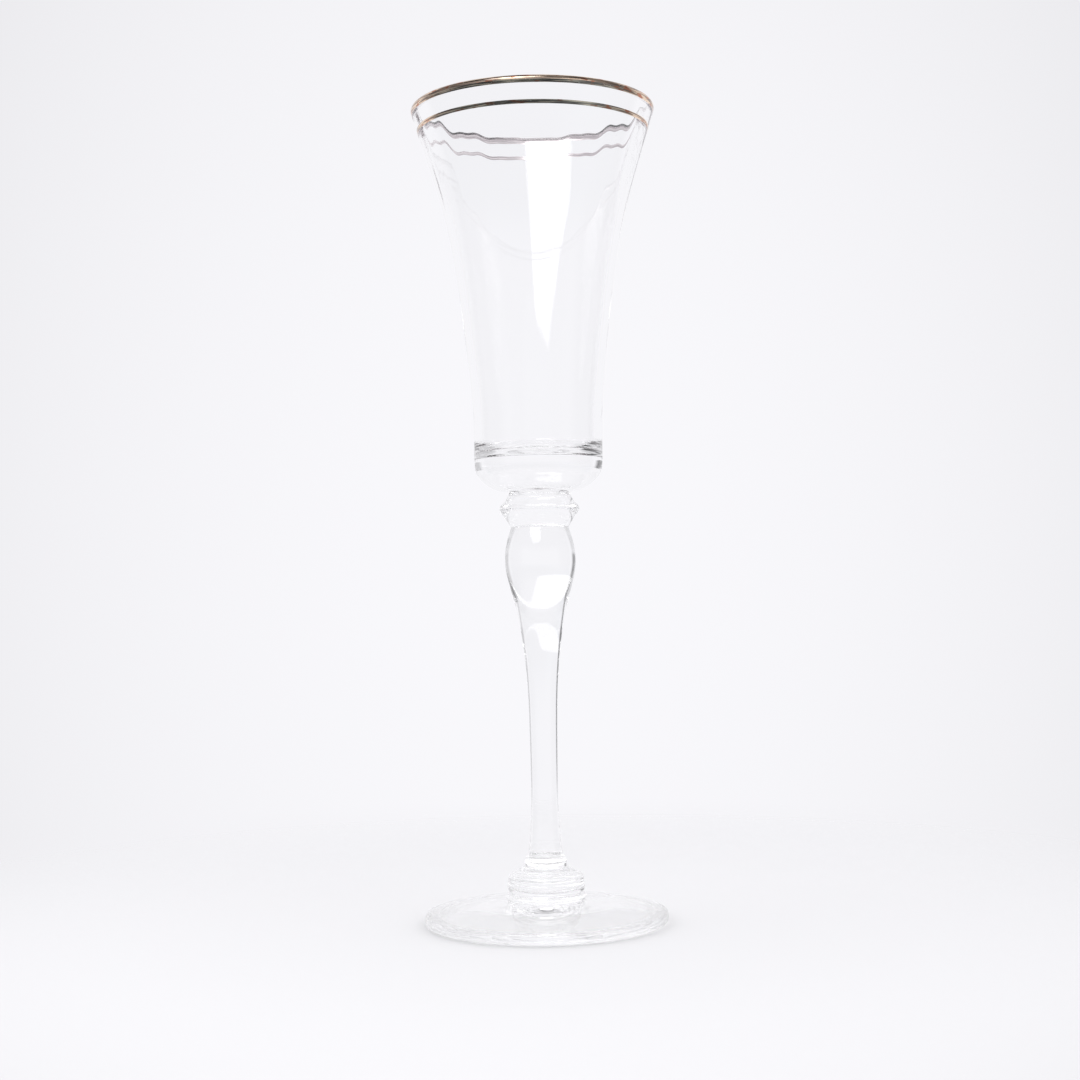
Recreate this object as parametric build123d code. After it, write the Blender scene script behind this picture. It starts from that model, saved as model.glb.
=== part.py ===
"""Champagne flute with an inverted baluster stem, a turned ring stack and two gold lines at the rim.

Millimetres, +Z up, origin at the centre of the plane that the foot rests on.
Every piece is a solid of revolution about Z. Neighbours meet face to face at flat discs, the way
the hot gathers of glass are joined, so each piece is its own solid and none overlaps another.
"""
from build123d import *
import os
from math import cos, radians, sin

# Whole glass
HEIGHT = 225.0
RIM_RADIUS = 33.6           # widest point, just under the lip
FOOT_RADIUS = 33.4

# Levels where one piece ends and the next begins, and the radius of each joint
FOOT_TOP, FOOT_JOINT = 6.6, 10.7
BASE_RING_TOP, BASE_RING_JOINT = 8.9, 10.25
STEPPED_RING_TOP, STEPPED_RING_JOINT = 15.7, 5.6
BEAD_TOP, BEAD_JOINT = 18.8, 4.7
STEM_TOP, STEM_JOINT = 108.6, 7.95
COLLAR_TOP, COLLAR_JOINT = 118.5, 8.2

# Bowl
BOWL_WAIST_RADIUS = 17.7    # straight part above the rounded bottom
BOWL_WAIST_BOTTOM = 128.5
BOWL_WAIST_TOP = 134.0
FLARE_BOTTOM = 209.0        # above this the wall is a straight cone
FLARE_ANGLE = 17.2          # degrees from the vertical
WALL = 1.9
CAVITY_FLOOR = 127.4        # at the axis
CAVITY_FLOOR_RISE = 0.25    # from the axis to where the corner starts
CAVITY_CORNER = 5.0         # radius of the rounded corner between floor and wall

# Gold on the outside
GOLD_THICKNESS = 0.06
RIM_BAND_HEIGHT = 2.1       # from the crown of the lip down
HAIRLINE_CENTRE = 218.3
HAIRLINE_HEIGHT = 1.0

# Foot
EDGE_RADIUS_LEVEL = 1.7     # level of the widest point
EDGE_TOP = 3.4
REST_INNER, REST_OUTER = 29.3, 31.4
DOME_RISE = 3.4             # hollow under the foot, about as steep as the top
EDGE_SETBACK = 1.0          # the top starts this far inside the widest point
TOP_SAG = 0.25              # how far the top dips under a straight cone

# Outline stations: (radius, level), and for rings also the bulge of the arc that starts there
BASE_RING_BULGE = 0.42
STEPPED_RING = [
    (BASE_RING_JOINT, BASE_RING_TOP, 0.32),     # drum, below the groove
    (10.3, 11.6, 0.3),                          # drum, above the groove
    (9.7, 13.6, 0.15),                          # shoulder
    (8.3, 14.25, 0.13),
    (6.9, 14.95, 0.12),
    (STEPPED_RING_JOINT, STEPPED_RING_TOP, 0),
]
BEAD_BULGE = 0.5
SHANK_AND_BULB = [
    (3.95, 28.0),
    (3.75, 48.0),               # thinnest
    (4.05, 63.0),
    (5.0, 75.0),
    (7.5, 88.5),
    (9.75, 99.2),               # widest, the bulb
]
COLLAR_LOWER_FLANK = (8.95, 110.3)
COLLAR_UNDER_EDGE = (10.6, 112.7)
COLLAR_EDGE = (10.98, 113.75)
COLLAR_OVER_EDGE = (10.45, 114.9)
COLLAR_UPPER_FLANK = (9.0, 116.6)
BOWL_BOTTOM_CURVE = [(12.9, 119.5), (16.1, 122.0)]
BOWL_SIDE = [(18.75, 152.0), (20.9, 171.0), (24.5, 193.0)]
INNER_WAIST_RISE = 3.0          # the wall's inside starts to curve this much above the waist


def at(radius, level):
    """A point of an outline, in the plane that holds the axis."""
    return Vector(radius, 0, level)


def turned(*edges):
    """The solid swept by a closed outline about the glass's axis."""
    return revolve(Face(Wire([edge.edge() for edge in edges])), Axis.Z)


def disc_caps(bottom, top):
    """The two flat joint faces and the axis, from the outline's bottom end to its top end."""
    return [
        Line(at(0, bottom.Z), bottom),
        Line(at(0, bottom.Z), at(0, top.Z)),
        Line(at(0, top.Z), top),
    ]


def beads(*stations):
    """Rounded rings: an arc from each (radius, level) to the next, standing out by the bulge."""
    arcs = []
    for (start_r, start_z, bulge), (end_r, end_z, _) in zip(stations, stations[1:]):
        start, end = at(start_r, start_z), at(end_r, end_z)
        outward = Vector(end_z - start_z, 0, start_r - end_r).normalized()
        arcs.append(ThreePointArc(start, (start + end) / 2 + outward * bulge, end))
    return arcs


def foot():
    """Shallow domed disc that stands on a flat ring near its edge."""
    edge_level = at(FOOT_RADIUS, EDGE_RADIUS_LEVEL)
    edge_top = at(FOOT_RADIUS - EDGE_SETBACK, EDGE_TOP)
    joint = at(FOOT_JOINT, FOOT_TOP)
    top_slope = (FOOT_TOP - EDGE_TOP) / (FOOT_RADIUS - FOOT_JOINT)
    halfway_rise = DOME_RISE * 3 / 4    # of a shallow round dome
    dome = ThreePointArc(at(0, DOME_RISE), at(REST_INNER / 2, halfway_rise), at(REST_INNER, 0))
    rest = Line(at(REST_INNER, 0), at(REST_OUTER, 0))
    lower_edge = Spline(at(REST_OUTER, 0), edge_level, tangents=[at(1, 0.1), at(0, 1)])
    upper_edge = Spline(edge_level, edge_top, tangents=[at(0, 1), at(-1, top_slope)])
    middle = (edge_top + joint) / 2 - at(0, TOP_SAG)
    top = ThreePointArc(edge_top, middle, joint)
    joint_face = Line(joint, at(0, FOOT_TOP))
    axis = Line(at(0, FOOT_TOP), at(0, DOME_RISE))
    return turned(dome, rest, lower_edge, upper_edge, top, joint_face, axis)


def base_ring():
    """Lowest ring of the stack, lying on the foot."""
    ring = beads(
        (FOOT_JOINT, FOOT_TOP, BASE_RING_BULGE), (BASE_RING_JOINT, BASE_RING_TOP, 0)
    )
    return turned(*ring, *disc_caps(at(FOOT_JOINT, FOOT_TOP), at(BASE_RING_JOINT, BASE_RING_TOP)))


def stepped_ring():
    """Drum with one fine groove, closed by a low cone with turned ridges."""
    caps = disc_caps(
        at(BASE_RING_JOINT, BASE_RING_TOP), at(STEPPED_RING_JOINT, STEPPED_RING_TOP)
    )
    return turned(*beads(*STEPPED_RING), *caps)


def bead_ring():
    """Small bead between the ring stack and the stem."""
    ring = beads((STEPPED_RING_JOINT, STEPPED_RING_TOP, BEAD_BULGE), (BEAD_JOINT, BEAD_TOP, 0))
    caps = disc_caps(at(STEPPED_RING_JOINT, STEPPED_RING_TOP), at(BEAD_JOINT, BEAD_TOP))
    return turned(*ring, *caps)


def stem():
    """Inverted baluster: a drawn shank that swells to a bulb under the collar."""
    bottom, top = at(BEAD_JOINT, BEAD_TOP), at(STEM_JOINT, STEM_TOP)
    stations = [at(*station) for station in SHANK_AND_BULB]
    outline = Spline(bottom, *stations, top, tangents=[at(-0.1, 1), at(-0.35, 1)])
    return turned(outline, *disc_caps(bottom, top))


def collar():
    """Angular collar (merese) with a narrow rounded edge, between stem and bowl."""
    bottom, top = at(STEM_JOINT, STEM_TOP), at(COLLAR_JOINT, COLLAR_TOP)
    under_edge, over_edge = at(*COLLAR_UNDER_EDGE), at(*COLLAR_OVER_EDGE)
    lower_flank = ThreePointArc(bottom, at(*COLLAR_LOWER_FLANK), under_edge)
    edge = ThreePointArc(under_edge, at(*COLLAR_EDGE), over_edge)
    upper_flank = ThreePointArc(over_edge, at(*COLLAR_UPPER_FLANK), top)
    return turned(lower_flank, edge, upper_flank, *disc_caps(bottom, top))


# The straight flare, shared by the bowl and the gold lines on it
UP_FLARE = Vector(sin(radians(FLARE_ANGLE)), 0, cos(radians(FLARE_ANGLE)))
OUT_OF_FLARE = Vector(cos(radians(FLARE_ANGLE)), 0, -sin(radians(FLARE_ANGLE)))
LIP_RADIUS = WALL / 2
LIP_CENTRE = at(RIM_RADIUS - LIP_RADIUS, HEIGHT - GOLD_THICKNESS - LIP_RADIUS)
LIP_OUTER = LIP_CENTRE + OUT_OF_FLARE * LIP_RADIUS
LIP_INNER = LIP_CENTRE - OUT_OF_FLARE * LIP_RADIUS


def on_flare(level, offset=0.0):
    """Point of the outer flare line at a level, moved outwards by an offset."""
    return LIP_OUTER + UP_FLARE * ((level - LIP_OUTER.Z) / UP_FLARE.Z) + OUT_OF_FLARE * offset


def bowl():
    """Trumpet bowl on a rounded solid bottom, open at the top, with a fire-polished lip."""
    neck = at(COLLAR_JOINT, COLLAR_TOP)
    waist_bottom = at(BOWL_WAIST_RADIUS, BOWL_WAIST_BOTTOM)
    waist_top = at(BOWL_WAIST_RADIUS, BOWL_WAIST_TOP)
    flare_bottom = on_flare(FLARE_BOTTOM)
    bottom_curve = Spline(
        neck,
        *[at(*station) for station in BOWL_BOTTOM_CURVE],
        waist_bottom,
        tangents=[at(1, 0.05), at(0, 1)],
    )
    waist = Line(waist_bottom, waist_top)
    body = [at(*station) for station in BOWL_SIDE]
    side = Spline(waist_top, *body, flare_bottom, tangents=[at(0, 1), UP_FLARE])
    flare = Line(flare_bottom, LIP_OUTER)
    lip = ThreePointArc(LIP_OUTER, LIP_CENTRE + UP_FLARE * LIP_RADIUS, LIP_INNER)

    inner_waist_radius = BOWL_WAIST_RADIUS - WALL
    inner_flare_bottom = flare_bottom - OUT_OF_FLARE * WALL
    inner_waist_top = at(inner_waist_radius, BOWL_WAIST_TOP + INNER_WAIST_RISE)
    inner_flare = Line(LIP_INNER, inner_flare_bottom)
    inner_body = [point - at(WALL, 0) for point in reversed(body)]
    inner_side = Spline(
        inner_flare_bottom, *inner_body, inner_waist_top, tangents=[-UP_FLARE, at(0, -1)]
    )
    corner_radius = inner_waist_radius - CAVITY_CORNER
    corner_bottom = at(corner_radius, CAVITY_FLOOR + CAVITY_FLOOR_RISE)
    corner_centre = corner_bottom + at(0, CAVITY_CORNER)
    corner_middle = corner_centre + at(1, -1).normalized() * CAVITY_CORNER
    corner_top = corner_centre + at(CAVITY_CORNER, 0)
    inner_waist = Line(inner_waist_top, corner_top)
    corner = ThreePointArc(corner_top, corner_middle, corner_bottom)
    level = at(-1, 0)
    inner_floor = Spline(corner_bottom, at(0, CAVITY_FLOOR), tangents=[level, level])
    axis = Line(at(0, CAVITY_FLOOR), at(0, COLLAR_TOP))
    joint_face = Line(at(0, COLLAR_TOP), neck)
    outside = [bottom_curve, waist, side, flare, lip]
    cavity = [inner_flare, inner_side, inner_waist, corner, inner_floor]
    return turned(*outside, *cavity, axis, joint_face)


def rim_gold_band():
    """Gold film from the crown of the lip down the outside."""
    low_level = HEIGHT - RIM_BAND_HEIGHT
    film_radius = LIP_RADIUS + GOLD_THICKNESS
    crown = at(0, 1)
    shoulder = (OUT_OF_FLARE + crown).normalized()
    film_top = LIP_CENTRE + crown * film_radius
    film_outer = LIP_CENTRE + OUT_OF_FLARE * film_radius
    outside = Line(on_flare(low_level, GOLD_THICKNESS), film_outer)
    over_lip = ThreePointArc(film_outer, LIP_CENTRE + shoulder * film_radius, film_top)
    top_end = Line(film_top, LIP_CENTRE + crown * LIP_RADIUS)
    lip = ThreePointArc(
        LIP_CENTRE + crown * LIP_RADIUS, LIP_CENTRE + shoulder * LIP_RADIUS, LIP_OUTER
    )
    inside = Line(LIP_OUTER, on_flare(low_level))
    low_end = Line(on_flare(low_level), on_flare(low_level, GOLD_THICKNESS))
    return turned(outside, over_lip, top_end, lip, inside, low_end)


def gold_hairline():
    """Thin second gold line around the flare."""
    low, high = HAIRLINE_CENTRE - HAIRLINE_HEIGHT / 2, HAIRLINE_CENTRE + HAIRLINE_HEIGHT / 2
    corners = [
        on_flare(low),
        on_flare(high),
        on_flare(high, GOLD_THICKNESS),
        on_flare(low, GOLD_THICKNESS),
    ]
    return turned(*[Line(a, b) for a, b in zip(corners, corners[1:] + corners[:1])])


PIECES = {
    "foot": foot,
    "base_ring": base_ring,
    "stepped_ring": stepped_ring,
    "bead_ring": bead_ring,
    "stem": stem,
    "collar": collar,
    "bowl": bowl,
    "rim_gold_band": rim_gold_band,
    "gold_hairline": gold_hairline,
}

os.makedirs("parts", exist_ok=True)
for name, make in PIECES.items():
    piece = make()
    piece.label = name
    export_step(piece, f"parts/{name}.step")
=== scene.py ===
"""Champagne flute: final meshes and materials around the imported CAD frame.

Every piece is swept about the axis from the outline of its own CAD node, so shapes and sizes come
from the frame. The glass pieces are separate closed meshes whose touching joint discs are clear,
so light crosses a fused joint without bending. Lengths are metres.
"""

import math

import bmesh
import bpy
import numpy as np
from mathutils import Matrix, Quaternion, Vector


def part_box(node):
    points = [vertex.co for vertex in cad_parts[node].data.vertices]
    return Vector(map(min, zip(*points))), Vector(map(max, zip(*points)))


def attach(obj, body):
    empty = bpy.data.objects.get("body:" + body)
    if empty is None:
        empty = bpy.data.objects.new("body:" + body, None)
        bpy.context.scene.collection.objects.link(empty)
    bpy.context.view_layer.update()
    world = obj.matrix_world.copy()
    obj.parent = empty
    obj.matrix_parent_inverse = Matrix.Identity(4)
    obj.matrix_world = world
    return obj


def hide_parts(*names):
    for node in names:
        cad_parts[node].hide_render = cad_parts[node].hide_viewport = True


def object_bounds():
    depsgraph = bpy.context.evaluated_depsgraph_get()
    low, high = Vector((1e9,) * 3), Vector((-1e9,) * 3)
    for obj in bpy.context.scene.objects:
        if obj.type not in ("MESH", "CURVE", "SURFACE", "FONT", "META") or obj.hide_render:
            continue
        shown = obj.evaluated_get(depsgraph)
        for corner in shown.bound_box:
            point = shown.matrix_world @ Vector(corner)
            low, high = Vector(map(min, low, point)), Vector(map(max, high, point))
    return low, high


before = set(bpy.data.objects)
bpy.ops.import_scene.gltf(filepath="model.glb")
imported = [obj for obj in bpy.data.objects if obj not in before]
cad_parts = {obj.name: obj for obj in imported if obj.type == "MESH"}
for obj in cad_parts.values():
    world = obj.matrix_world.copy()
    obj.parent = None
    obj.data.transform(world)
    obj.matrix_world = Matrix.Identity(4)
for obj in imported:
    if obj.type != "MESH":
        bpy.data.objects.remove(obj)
cad_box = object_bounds()

MM = 0.001
NEGLIGIBLE = 1e-7                   # lengths below this count as zero
GLASS_NODES = ("foot", "base_ring", "stepped_ring", "bead_ring", "stem", "collar", "bowl")
GOLD_NODES = ("rim_gold_band", "gold_hairline")
WIDE_NODES = ("foot", "bowl")

# Outlines read from the frame, and how finely they are swept
MATCHING_DIGITS = 8                 # vertices are at one place if they agree to this many decimals
CORNER = math.radians(15)           # an outline that turns more than this stays sharp
UNEVEN = 4.0                        # beside a segment this much longer, its direction is the tangent
FINE_STEP = 0.7 * MM
FINE_TURN = math.radians(3)
WIDE_TURNS = 384
NARROW_TURNS = 256

# Optic ribs inside the bowl
RIB_COUNT = 16
RIB_HEIGHT = 0.068 * MM
FLUTE_TERMS = 2                     # more terms make the creases sharper
RIB_PHASE = math.radians(-90 - 5.3)     # a crease stands just left of the camera's side
RIB_LIP_FADE = (0.5 * MM, 5.0 * MM)     # below the lip
RIB_DEPTH_FADE = (18 * MM, 36 * MM)     # below the lip, where the bowl gets narrow

# Surface of the glass
RIPPLE = 0.012 * MM
RIPPLE_WAVES = ((1, 31 * MM), (2, -17 * MM), (5, 23 * MM))     # waves round the axis, height per radian
GLASS_COLOUR = (0.998, 0.999, 1.0)
GLASS_IOR = 1.52
GLASS_SHADOW = (0.985, 0.985, 0.987)    # share of light that one surface lets into its shadow
SCUFF_TOP = 0.5 * MM                # the foot is scuffed below this level
SCUFF_GRAIN = (900, 900, 900)       # features per metre along x, y and z
SCUFF_PATCHES = (0.4, 0.6)          # noise where scuffs start and are full
SCUFF_ROUGHNESS = 0.35

# Gold films: their shape
GOLD_PROUD = 0.05 * MM
GOLD_SUNK = 0.03 * MM
GOLD_DRIFT = 0.06 * MM              # how far the painted edges stray
DRIFT_FADE = (0.8 * MM, 2.0 * MM)   # below the lip, where an edge is free to stray
BRUSH_WAVES = (2, 3, 5, 9, 14)

# Gold films: features per metre along x, y and z, and the noise where each look starts and is full
STROKE_GRAIN = (120, 120, 3500)
PATCH_GRAIN = (260, 260, 900)
SPECK_GRAIN = (2300, 2300, 2300)
BRIGHT_STROKES = (0.42, 0.6)
BRIGHT_STROKES_BENEATH = (0.38, 0.6)
ROUGH_STROKES = (0.35, 0.65)
COPPERY_PATCHES = (0.54, 0.62)
WORN_SPECKS = (0.74, 0.78)
GOLD_COLOURS = ((0.26, 0.20, 0.17), (0.95, 0.74, 0.56))          # dark and bright strokes
BENEATH_COLOURS = ((0.42, 0.37, 0.39), (0.80, 0.74, 0.75))       # the same, seen through the glass
COPPER_COLOUR = (0.50, 0.22, 0.14)
WORN_COLOUR = (0.95, 0.90, 0.80)
STROKE_ROUGHNESS = (0.08, 0.2)
WORN_ROUGHNESS = 0.45
STROKE_BUMP = 0.5
STROKE_DEPTH = 0.05 * MM

# Camera: a 60 mm lens half a metre from the axis, just below the middle of the glass
LENS = 59.66
SENSOR = 36.0
CAMERA_DISTANCE = 0.4934
CAMERA_HEIGHT = 0.0916
CAMERA_PITCH = math.radians(1.567)
CAMERA_ROLL = math.radians(-1.045)

# Softbox, placed from the axis of the glass at the camera's aim, and turned with the camera
KEY_AZIMUTH = math.radians(-22)
KEY_ELEVATION = math.radians(45)
KEY_DISTANCE = 0.9
KEY_ROLL = math.radians(13)
KEY_SIZE = (0.66, 0.68)
KEY_WATTS = 3.75
KEY_SQUARENESS = 6.0                # power of its superellipse outline
KEY_EDGE = (0.9, 0.4)               # where that superellipse is dark, and where fully lit
KEY_CUT_CORNER = (0.33, 0.47)       # the same over one covered corner, by the sum of both positions

# Floor
FLOOR_COLOUR = (0.82, 0.819, 0.823)
FLOOR_RADIUS = 0.45
FLOOR_SIDES = 96
FLOOR_FADE = (0.10, 0.30)           # from the axis, where it starts to fade and where it is gone
FLOOR_GAP = 0.02 * MM

# Studio. A zone is where a part of the direction starts it and where it is full. Those parts are
# right, up and forward as the camera sees them, from -1 to 1.
AHEAD_ZONE = (0.28, 0.5)
AHEAD_ZONE_IN_SOLID = (0.46, 0.64)      # seen through solid glass
BEHIND_ZONE = (-0.25, -0.6)
OVERHEAD_ZONE = (0.2, 0.45)
LOW_ZONE = (-0.05, -0.25)
FLAG_ZONE = (-0.35, -0.15)              # dark flags stand from behind the camera's sides forward
FLAG_BOTTOM_ZONE = (-0.2, -0.08)
FLAG_TOP_ZONE = (1.05, 0.95)
FLAG_SLOPE = (-0.4, 0.4)                # from left to right
TABLE_SLOPE = (0.2, 0.8)                # from left to right

# Studio brightness, where 1 is white
BACKDROP = 0.957
BACKDROP_FALL = (0.83, 0.35)            # dimming to the sides and upwards, times the squared tangent
LEAST_FORWARD = 0.2                     # in that tangent
AHEAD = 0.94
BEHIND = 0.9
ON_MATT = 0.94                          # what matt surfaces get from all sides
FLAGS = (0.07, 0.55)                    # left and right
TABLE_IN_MIRROR = (0.15, 0.4)           # left and right, reflected off the outside
TABLE_THROUGH_GLASS = (0.94, 0.65)      # by way of one reflection, and through solid glass
SIDES = (0.45, 0.9)                     # reflected off the outside, and through glass
OVERHEAD = (0.2, 0.9)                   # reflected off the outside, and through glass
STUDIO_TINT = (0.99, 0.985, 1.015)
COOL_TINT = (0.8, 1.05, 1.2)            # of the table, reflected off the outside

BOUNCES = 64                            # enough for nested glass


# ---------------------------------------------------------------- outlines

def seam(node):
    """Ordered (radius, height) points of a turned CAD node's open outline, from its lowest joint."""
    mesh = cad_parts[node].data
    place = {}
    for vertex in mesh.vertices:
        x, y, z = vertex.co
        if abs(y) < NEGLIGIBLE and x > -NEGLIGIBLE:
            place[vertex.index] = (round(x, MATCHING_DIGITS), round(z, MATCHING_DIGITS))
    beside = {}
    for edge in mesh.edges:
        a, b = [place.get(i) for i in edge.vertices]
        if a is not None and b is not None and a != b:
            beside.setdefault(a, set()).add(b)
            beside.setdefault(b, set()).add(a)
    ends = [point for point, near in beside.items() if len(near) == 1]
    line = [min((end for end in ends if end[0] > NEGLIGIBLE), key=lambda end: end[1])]
    while len(line) < len(beside):
        onward = beside[line[-1]] - set(line[-2:])
        line.append(onward.pop())
    return np.array(line)


def mirrored(direction, tangent):
    """The tangent at one end of a circular arc, from its chord's direction and the other end's."""
    return 2 * np.dot(direction, tangent) * direction - tangent


def tangents(points):
    """Unit tangents arriving at and leaving each outline point, and the segments' lengths."""
    steps = np.diff(points, axis=0)
    lengths = np.hypot(*steps.T)
    ways = steps / lengths[:, None]
    count = len(points)
    arrive, leave = [None] * count, [None] * count
    for i in range(1, count - 1):
        before, after = ways[i - 1], ways[i]
        turn = math.acos(min(1.0, max(-1.0, float(before @ after))))
        if turn > CORNER:
            continue
        if lengths[i - 1] > UNEVEN * lengths[i]:
            way = before
        elif lengths[i] > UNEVEN * lengths[i - 1]:
            way = after
        else:
            way = before * lengths[i] + after * lengths[i - 1]
        arrive[i] = leave[i] = way / np.hypot(*way)
    for i in range(count - 1):
        if leave[i] is None and arrive[i + 1] is None:
            leave[i] = arrive[i + 1] = ways[i]
        elif leave[i] is None:
            leave[i] = mirrored(ways[i], arrive[i + 1])
        elif arrive[i + 1] is None:
            arrive[i + 1] = mirrored(ways[i], leave[i])
    return arrive, leave, lengths


def refined(points):
    """The same outline with its rounded stretches filled in by cubic pieces."""
    arrive, leave, lengths = tangents(points)
    line = [points[0]]
    for i, length in enumerate(lengths):
        turn = math.acos(min(1.0, float(leave[i] @ arrive[i + 1])))
        parts = max(1, math.ceil(length / FINE_STEP), math.ceil(turn / FINE_TURN))
        a, b = points[i], points[i + 1]
        go, come = leave[i] * length, arrive[i + 1] * length
        for part in range(1, parts + 1):
            t = part / parts
            line.append(
                a * (2 * t**3 - 3 * t**2 + 1)
                + go * (t**3 - 2 * t**2 + t)
                + b * (3 * t**2 - 2 * t**3)
                + come * (t**3 - t**2)
            )
    line = np.array(line)
    line[:, 1] = np.maximum(line[:, 1], points[:, 1].min())
    return line


def eased(value, low, high):
    """0 at low, 1 at high, smooth between."""
    t = np.clip((value - low) / (high - low), 0, 1)
    return t * t * (3 - 2 * t)


def rib_heights(line):
    """Height of the optic ribs along the bowl's outline: inside only, fading at lip and waist."""
    crown = int(np.argmax(line[:, 1]))
    below_lip = line[crown, 1] - line[:, 1]
    inside = np.arange(len(line)) > crown
    fade = eased(below_lip, *RIB_LIP_FADE) * (1 - eased(below_lip, *RIB_DEPTH_FADE))
    return np.where(inside, RIB_HEIGHT * fade, 0.0)


def film_outline(line, node):
    """Closed outline of a gold film: the bowl's outside within the node's heights, made thick."""
    low, high = [corner.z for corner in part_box(node)]
    crown = int(np.argmax(line[:, 1]))
    outside = line[: crown + 1]
    levels = [z for z in outside[:, 1] if low < z < high]
    levels = [low] + levels + ([high] if high < outside[-1, 1] else [])
    path = np.array([(np.interp(z, outside[:, 1], outside[:, 0]), z) for z in levels])
    ways = np.gradient(path, axis=0)
    ways /= np.hypot(*ways.T)[:, None]
    outward = np.stack([ways[:, 1], -ways[:, 0]], axis=1)
    return np.vstack([path + outward * GOLD_PROUD, (path - outward * GOLD_SUNK)[::-1]])


# ---------------------------------------------------------------- meshes

def flute(angle):
    """Profile of the optic flutes around the bowl: lowest on a crease, highest on a panel's middle."""
    turn = RIB_COUNT * (angle - RIB_PHASE)
    return -sum(math.cos(k * turn) / k**2 for k in range(1, FLUTE_TERMS + 1))


def unevenness(angle, height):
    """Slow waves left by hot working, spiralling round the axis, from -1 to 1."""
    waves = sum(math.sin(k * angle + height / pitch) for k, pitch in RIPPLE_WAVES)
    return waves / len(RIPPLE_WAVES)


def brush_drift(angle):
    """How far a hand-painted line strays up or down around the bowl, from -1 to 1."""
    waves = sum(math.sin(k * angle + k * k) / k for k in BRUSH_WAVES)
    return waves / sum(1 / k for k in BRUSH_WAVES)


def add_ring(bm, point, angles, rib, drift):
    """Vertices of an outline point turned about the axis, or the only one if it lies on the axis."""
    radius, height = point
    if radius < NEGLIGIBLE:
        return [bm.verts.new((0, 0, height))]
    ring = []
    for angle in angles:
        r = radius - rib * flute(angle) + RIPPLE * unevenness(angle, height)
        z = height + drift * brush_drift(angle)
        ring.append(bm.verts.new((r * math.cos(angle), r * math.sin(angle), z)))
    return ring


def add_band(bm, low, high):
    """Faces between two rings, either of which may be a single vertex on the axis."""
    turns = max(len(low), len(high))
    for k in range(turns):
        j = (k + 1) % turns
        corners = [low[k % len(low)], low[j % len(low)], high[j % len(high)], high[k % len(high)]]
        bm.faces.new(list(dict.fromkeys(corners)))


def add_joint_disc(bm, ring):
    """Flat disc over the open end of a piece, in its second material slot."""
    middle = bm.verts.new((0, 0, ring[0].co.z))
    for k, corner in enumerate(ring):
        face = bm.faces.new((corner, ring[(k + 1) % len(ring)], middle))
        face.material_index = 1


def as_object(bm, name):
    """New object in the scene with the bmesh's mesh."""
    mesh = bpy.data.meshes.new(name)
    bm.to_mesh(mesh)
    bm.free()
    thing = bpy.data.objects.new(name, mesh)
    bpy.context.scene.collection.objects.link(thing)
    return thing


def swept(name, line, turns, closed=False, ribs=None, sway=None):
    """Object turned from an outline. Open ends off the axis get joint discs."""
    angles = [2 * math.pi * k / turns for k in range(turns)]
    level = np.zeros(len(line))
    ribs = level if ribs is None else ribs
    sway = level if sway is None else sway
    bm = bmesh.new()
    rings = [add_ring(bm, point, angles, rib, drift) for point, rib, drift in zip(line, ribs, sway)]
    for low, high in zip(rings, rings[1:]):
        add_band(bm, low, high)
    if closed:
        add_band(bm, rings[-1], rings[0])
    else:
        for ring in (rings[0], rings[-1]):
            if len(ring) > 1:
                add_joint_disc(bm, ring)
    bmesh.ops.recalc_face_normals(bm, faces=bm.faces)
    for face in bm.faces:
        face.smooth = face.material_index == 0
    for edge in bm.edges:
        if len(edge.link_faces) == 2 and edge.calc_face_angle(0) > CORNER:
            edge.smooth = False
    return as_object(bm, name)


# ---------------------------------------------------------------- materials

class Graph:
    """Shorthand for one node tree. add() returns a node, and the calls below it a node's outputs."""

    def __init__(self, tree):
        self.tree = tree

    def feed(self, socket, value):
        """Link or set an input. A colour has three parts."""
        if isinstance(value, bpy.types.NodeSocket):
            self.tree.links.new(value, socket)
        elif socket.type == "RGBA":
            socket.default_value = (*value, 1)
        else:
            socket.default_value = value

    def add(self, kind, inputs=None, **settings):
        """A new shader node with these attributes set and these inputs fed."""
        node = self.tree.nodes.new("ShaderNode" + kind)
        for name, setting in settings.items():
            setattr(node, name, setting)
        for name, value in (inputs or {}).items():
            self.feed(node.inputs[name], value)
        return node

    def of(self, operation, *values):
        """The result of an arithmetic operation."""
        return self.add("Math", dict(enumerate(values)), operation=operation).outputs[0]

    def ease(self, value, low, high, start=0.0, end=1.0):
        """start where value is at low, end where it is at high, smooth between."""
        inputs = {"Value": value, "From Min": low, "From Max": high, "To Min": start, "To Max": end}
        return self.add("MapRange", inputs, interpolation_type="SMOOTHSTEP").outputs["Result"]

    def blend(self, share, low, high):
        """low where share is 0, high where it is 1."""
        mix = self.add("Mix", {"Factor": share, "A": low, "B": high}, data_type="FLOAT")
        return mix.outputs["Result"]

    def tint(self, share, low, high):
        """Colour low where share is 0, colour high where it is 1. The sockets are the colour ones."""
        return self.add("Mix", {0: share, 6: low, 7: high}, data_type="RGBA").outputs[2]

    def place(self):
        """Where the shaded point is on its object."""
        return self.add("TexCoord").outputs["Object"]

    def parts(self, vector):
        """X, Y and Z of a vector."""
        return self.add("SeparateXYZ", {"Vector": vector}).outputs

    def noise(self, grain, detail):
        """Noise over the piece, with this many features per metre along each axis."""
        stretched = self.add("Mapping", {"Vector": self.place(), "Scale": grain}).outputs[0]
        noise = self.add("TexNoise", {"Vector": stretched, "Scale": 1.0, "Detail": detail})
        return noise.outputs["Fac"]


def new_material(name):
    """An empty node material and its graph."""
    material = bpy.data.materials.new(name)
    material.use_nodes = True
    material.node_tree.nodes.clear()
    return material, Graph(material.node_tree)


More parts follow.
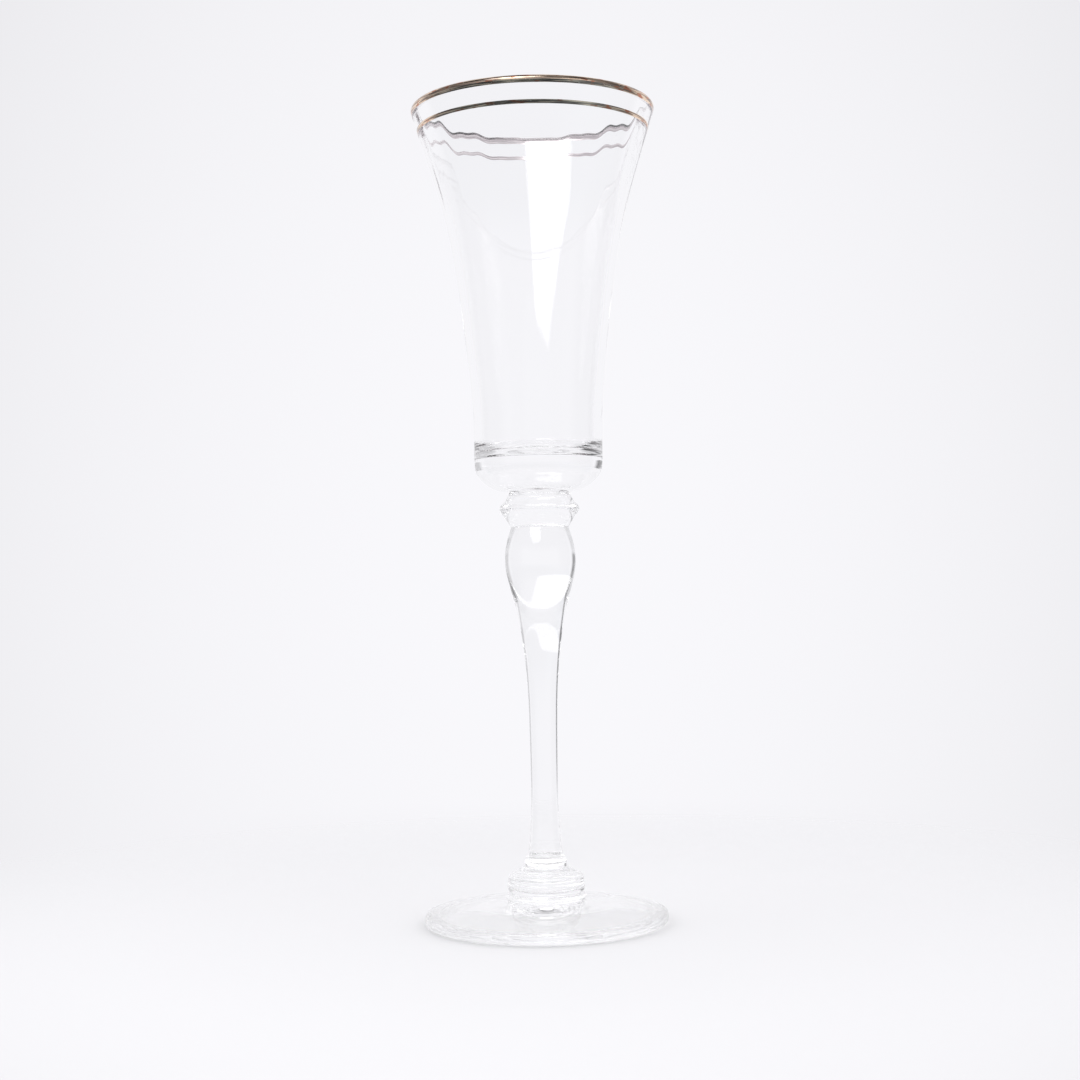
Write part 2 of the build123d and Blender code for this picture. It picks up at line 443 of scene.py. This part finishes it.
def clear_glass():
    """Colourless crystal, scuffed where the foot rubs on tables."""
    material, graph = new_material("clear_glass")
    rubbed = graph.ease(graph.parts(graph.place())["Z"], SCUFF_TOP, 0.0)
    scuffs = graph.ease(graph.noise(SCUFF_GRAIN, 3), *SCUFF_PATCHES)
    roughness = graph.of("MULTIPLY", graph.of("MULTIPLY", rubbed, scuffs), SCUFF_ROUGHNESS)
    look = {
        "Base Color": GLASS_COLOUR,
        "Transmission Weight": 1.0,
        "IOR": GLASS_IOR,
        "Roughness": roughness,
    }
    glass = graph.add("BsdfPrincipled", look)
    shadow = graph.add("BsdfTransparent", {"Color": GLASS_SHADOW})
    in_shadow = graph.add("LightPath").outputs["Is Shadow Ray"]
    mix = graph.add("MixShader", {0: in_shadow, 1: glass.outputs[0], 2: shadow.outputs[0]})
    graph.add("OutputMaterial", {"Surface": mix.outputs[0]})
    return material


def fused_joint():
    """Hidden face between two pieces of glass that are fused: light goes straight on."""
    material, graph = new_material("fused_joint")
    graph.add("OutputMaterial", {"Surface": graph.add("BsdfTransparent").outputs[0]})
    return material


def faces_axis(graph):
    """1 on the side of a film that lies on the glass, 0 on its outside."""
    face = graph.add("NewGeometry").outputs
    from_axis = graph.add("VectorMath", {0: face["Position"], 1: (1, 1, 0)}, operation="MULTIPLY")
    outward = graph.add(
        "VectorMath", {0: from_axis.outputs[0], 1: face["True Normal"]}, operation="DOT_PRODUCT"
    )
    return graph.of("LESS_THAN", outward.outputs["Value"], 0.0)


def gold():
    """Thin fired gold: brushed round the glass, coppery where it is thin, with worn specks."""
    material, graph = new_material("gold")
    strokes = graph.noise(STROKE_GRAIN, 3)
    coppery = graph.ease(graph.noise(PATCH_GRAIN, 3), *COPPERY_PATCHES)
    worn = graph.ease(graph.noise(SPECK_GRAIN, 1), *WORN_SPECKS)

    outside = graph.tint(graph.ease(strokes, *BRIGHT_STROKES), *GOLD_COLOURS)
    outside = graph.tint(coppery, outside, COPPER_COLOUR)
    beneath = graph.tint(graph.ease(strokes, *BRIGHT_STROKES_BENEATH), *BENEATH_COLOURS)
    colour = graph.tint(faces_axis(graph), outside, beneath)
    roughness = graph.ease(strokes, *ROUGH_STROKES, *STROKE_ROUGHNESS)
    bump = graph.add("Bump", {"Height": strokes, "Strength": STROKE_BUMP, "Distance": STROKE_DEPTH})
    look = {
        "Metallic": 1.0,
        "Base Color": graph.tint(worn, colour, WORN_COLOUR),
        "Roughness": graph.blend(worn, roughness, WORN_ROUGHNESS),
        "Normal": bump.outputs[0],
    }
    metal = graph.add("BsdfPrincipled", look)
    graph.add("OutputMaterial", {"Surface": metal.outputs[0]})
    return material


def pale_floor():
    """Matt white table that fades into the backdrop with distance."""
    material, graph = new_material("pale_floor")
    from_axis = graph.add("VectorMath", {0: graph.place()}, operation="LENGTH").outputs["Value"]
    matt = graph.add("BsdfDiffuse", {"Color": FLOOR_COLOUR})
    gone = graph.add("BsdfTransparent")
    fade = graph.ease(from_axis, *FLOOR_FADE)
    mix = graph.add("MixShader", {0: fade, 1: matt.outputs[0], 2: gone.outputs[0]})
    graph.add("OutputMaterial", {"Surface": mix.outputs[0]})
    return material


# ---------------------------------------------------------------- stage

def add_floor():
    """Pale disc under the foot."""
    bm = bmesh.new()
    bmesh.ops.create_circle(bm, cap_ends=True, segments=FLOOR_SIDES, radius=FLOOR_RADIUS)
    floor = as_object(bm, "floor")
    floor.location.z = cad_box[0].z - FLOOR_GAP
    floor.data.materials.append(pale_floor())


def add_camera():
    """Long lens, nearly level with the middle of the glass, rolled by a degree."""
    data = bpy.data.cameras.new("camera")
    data.lens = LENS
    data.sensor_width = SENSOR
    camera = bpy.data.objects.new("camera", data)
    look = Matrix.Rotation(math.pi / 2 + CAMERA_PITCH, 4, "X")
    roll = Matrix.Rotation(CAMERA_ROLL, 4, "Z")
    camera.matrix_world = Matrix.Translation((0, -CAMERA_DISTANCE, CAMERA_HEIGHT)) @ look @ roll
    bpy.context.scene.collection.objects.link(camera)
    bpy.context.scene.camera = camera
    return camera


def shape_key_light(graph):
    """Light only a rounded square of the softbox's cloth, with one corner covered."""
    across, along, _ = graph.parts(graph.add("NewGeometry").outputs["Parametric"])

    def from_middle(part):
        span = graph.of("ABSOLUTE", graph.of("MULTIPLY_ADD", part, 2.0, -1.0))
        return graph.of("POWER", span, KEY_SQUARENESS)

    edge = graph.of("ADD", from_middle(across), from_middle(along))
    cut_corner = graph.ease(graph.of("ADD", across, along), *KEY_CUT_CORNER)
    lit = graph.of("MULTIPLY", graph.ease(edge, *KEY_EDGE), cut_corner)
    graph.feed(graph.tree.nodes["Emission"].inputs["Strength"], lit)


def add_key(camera):
    """Softbox behind the camera, up to its left. It rides with the camera, as on a turntable set."""
    data = bpy.data.lights.new("key", "AREA")
    data.shape = "RECTANGLE"
    data.size, data.size_y = KEY_SIZE
    data.energy = KEY_WATTS
    data.use_nodes = True
    shape_key_light(Graph(data.node_tree))
    key = bpy.data.objects.new("key", data)
    level = math.cos(KEY_ELEVATION)
    way = Vector((math.sin(KEY_AZIMUTH) * level, math.sin(KEY_ELEVATION), math.cos(KEY_AZIMUTH) * level))
    across = Vector((0, 1, 0)).cross(way).normalized()
    facing = Matrix((across, way.cross(across), way)).transposed().to_quaternion()
    key.rotation_mode = "QUATERNION"
    key.rotation_quaternion = facing @ Quaternion((0, 0, 1), KEY_ROLL)
    key.location = Vector((0, 0, -CAMERA_DISTANCE)) + way * KEY_DISTANCE
    key.parent = camera
    bpy.context.scene.collection.objects.link(key)


def view_direction(graph):
    """Right, up and forward parts of the ray's direction, as the camera sees them."""
    ray = graph.add("TexCoord").outputs["Generated"]
    turn = {"vector_type": "VECTOR", "convert_from": "WORLD", "convert_to": "CAMERA"}
    return graph.parts(graph.add("VectorTransform", {"Vector": ray}, **turn).outputs[0])


def backdrop_level(graph, direction):
    """Brightness of the backdrop that the camera sees, falling off away from its middle."""
    right, up, forward = direction

    def tangent_squared(part):
        slope = graph.of("DIVIDE", part, graph.of("MAXIMUM", forward, LEAST_FORWARD))
        return graph.of("MULTIPLY", slope, slope)

    sideways = graph.of("MULTIPLY", tangent_squared(right), BACKDROP_FALL[0])
    upwards = graph.of("MULTIPLY", tangent_squared(up), BACKDROP_FALL[1])
    return graph.of("SUBTRACT", BACKDROP, graph.of("ADD", sideways, upwards))


def surroundings_level(graph, direction, low, through_glass, solid):
    """Brightness of what the glass reflects and refracts, apart from the backdrop."""
    right, up, forward = direction
    sides = graph.blend(through_glass, *SIDES)
    level = graph.blend(graph.ease(forward, *BEHIND_ZONE), sides, BEHIND)
    overhead = graph.blend(through_glass, *OVERHEAD)
    level = graph.blend(graph.ease(up, *OVERHEAD_ZONE), level, overhead)

    flag_heights = graph.of("MULTIPLY", graph.ease(up, *FLAG_BOTTOM_ZONE), graph.ease(up, *FLAG_TOP_ZONE))
    flags = graph.of("MULTIPLY", graph.ease(forward, *FLAG_ZONE), flag_heights)
    flags = graph.of("MULTIPLY", flags, solid)
    level = graph.blend(flags, level, graph.ease(right, *FLAG_SLOPE, *FLAGS))

    mirrored_table = graph.ease(right, *TABLE_SLOPE, *TABLE_IN_MIRROR)
    table = graph.blend(solid, *TABLE_THROUGH_GLASS)
    return graph.blend(low, level, graph.blend(through_glass, mirrored_table, table))


def add_world():
    """Bright studio that turns with the camera. Only reflections and refractions see its darker parts."""
    world = bpy.data.worlds.new("studio")
    bpy.context.scene.world = world
    world.use_nodes = True
    world.cycles.sampling_method = "NONE"
    world.node_tree.nodes.clear()
    graph = Graph(world.node_tree)
    direction = view_direction(graph)
    _, up, forward = direction

    # Light that was reflected just once, mostly by a thin wall, must not show the dark flags
    path = graph.add("LightPath").outputs
    diffused = graph.of("GREATER_THAN", path["Diffuse Depth"], 0.5)
    through_glass = graph.of("GREATER_THAN", path["Transmission Depth"], 0.5)
    once = graph.of("COMPARE", path["Glossy Depth"], 1.0, 0.5)
    solid = graph.of("MULTIPLY", through_glass, graph.of("SUBTRACT", 1.0, once))

    ahead_in_solid = graph.ease(forward, *AHEAD_ZONE_IN_SOLID)
    ahead = graph.blend(solid, graph.ease(forward, *AHEAD_ZONE), ahead_in_solid)
    low = graph.ease(up, *LOW_ZONE)
    surroundings = surroundings_level(graph, direction, low, through_glass, solid)
    studio = graph.blend(ahead, surroundings, AHEAD)
    level = graph.blend(path["Is Camera Ray"], studio, backdrop_level(graph, direction))
    level = graph.blend(diffused, level, ON_MATT)

    seen = graph.of("MAXIMUM", path["Is Camera Ray"], diffused)
    neutral = graph.of("MAXIMUM", graph.of("MAXIMUM", seen, through_glass), ahead)
    cool = graph.of("MULTIPLY", low, graph.of("SUBTRACT", 1.0, neutral))
    tint = graph.tint(cool, STUDIO_TINT, COOL_TINT)
    background = graph.add("Background", {"Color": tint, "Strength": level})
    graph.add("OutputWorld", {"Surface": background.outputs[0]})


def set_renderer():
    """Plain view transform, and enough bounces for nested glass."""
    scene = bpy.context.scene
    scene.view_settings.view_transform = "Standard"
    scene.cycles.max_bounces = BOUNCES
    scene.cycles.transmission_bounces = BOUNCES
    scene.cycles.glossy_bounces = BOUNCES
    scene.cycles.transparent_max_bounces = BOUNCES


# ---------------------------------------------------------------- the glass

def replace_node(piece, node, materials):
    """Give a piece its materials and let it stand for its CAD node."""
    for material in materials:
        piece.data.materials.append(material)
    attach(piece, "root")
    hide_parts(node)


def add_glass():
    """The seven glass pieces."""
    materials = (clear_glass(), fused_joint())
    for node in GLASS_NODES:
        outline = refined(seam(node))
        turns = WIDE_TURNS if node in WIDE_NODES else NARROW_TURNS
        ribs = rib_heights(outline) if node == "bowl" else None
        replace_node(swept("glass_" + node, outline, turns, ribs=ribs), node, materials)


def add_gold():
    """The two gold films on the outside of the bowl."""
    materials = (gold(),)
    bowl = refined(seam("bowl"))
    for node in GOLD_NODES:
        film = film_outline(bowl, node)
        below_lip = bowl[:, 1].max() - film[:, 1]
        sway = GOLD_DRIFT * eased(below_lip, *DRIFT_FADE)
        piece = swept("film_" + node, film, WIDE_TURNS, closed=True, sway=sway)
        replace_node(piece, node, materials)


add_glass()
add_gold()
add_floor()
add_key(add_camera())
add_world()
set_renderer()
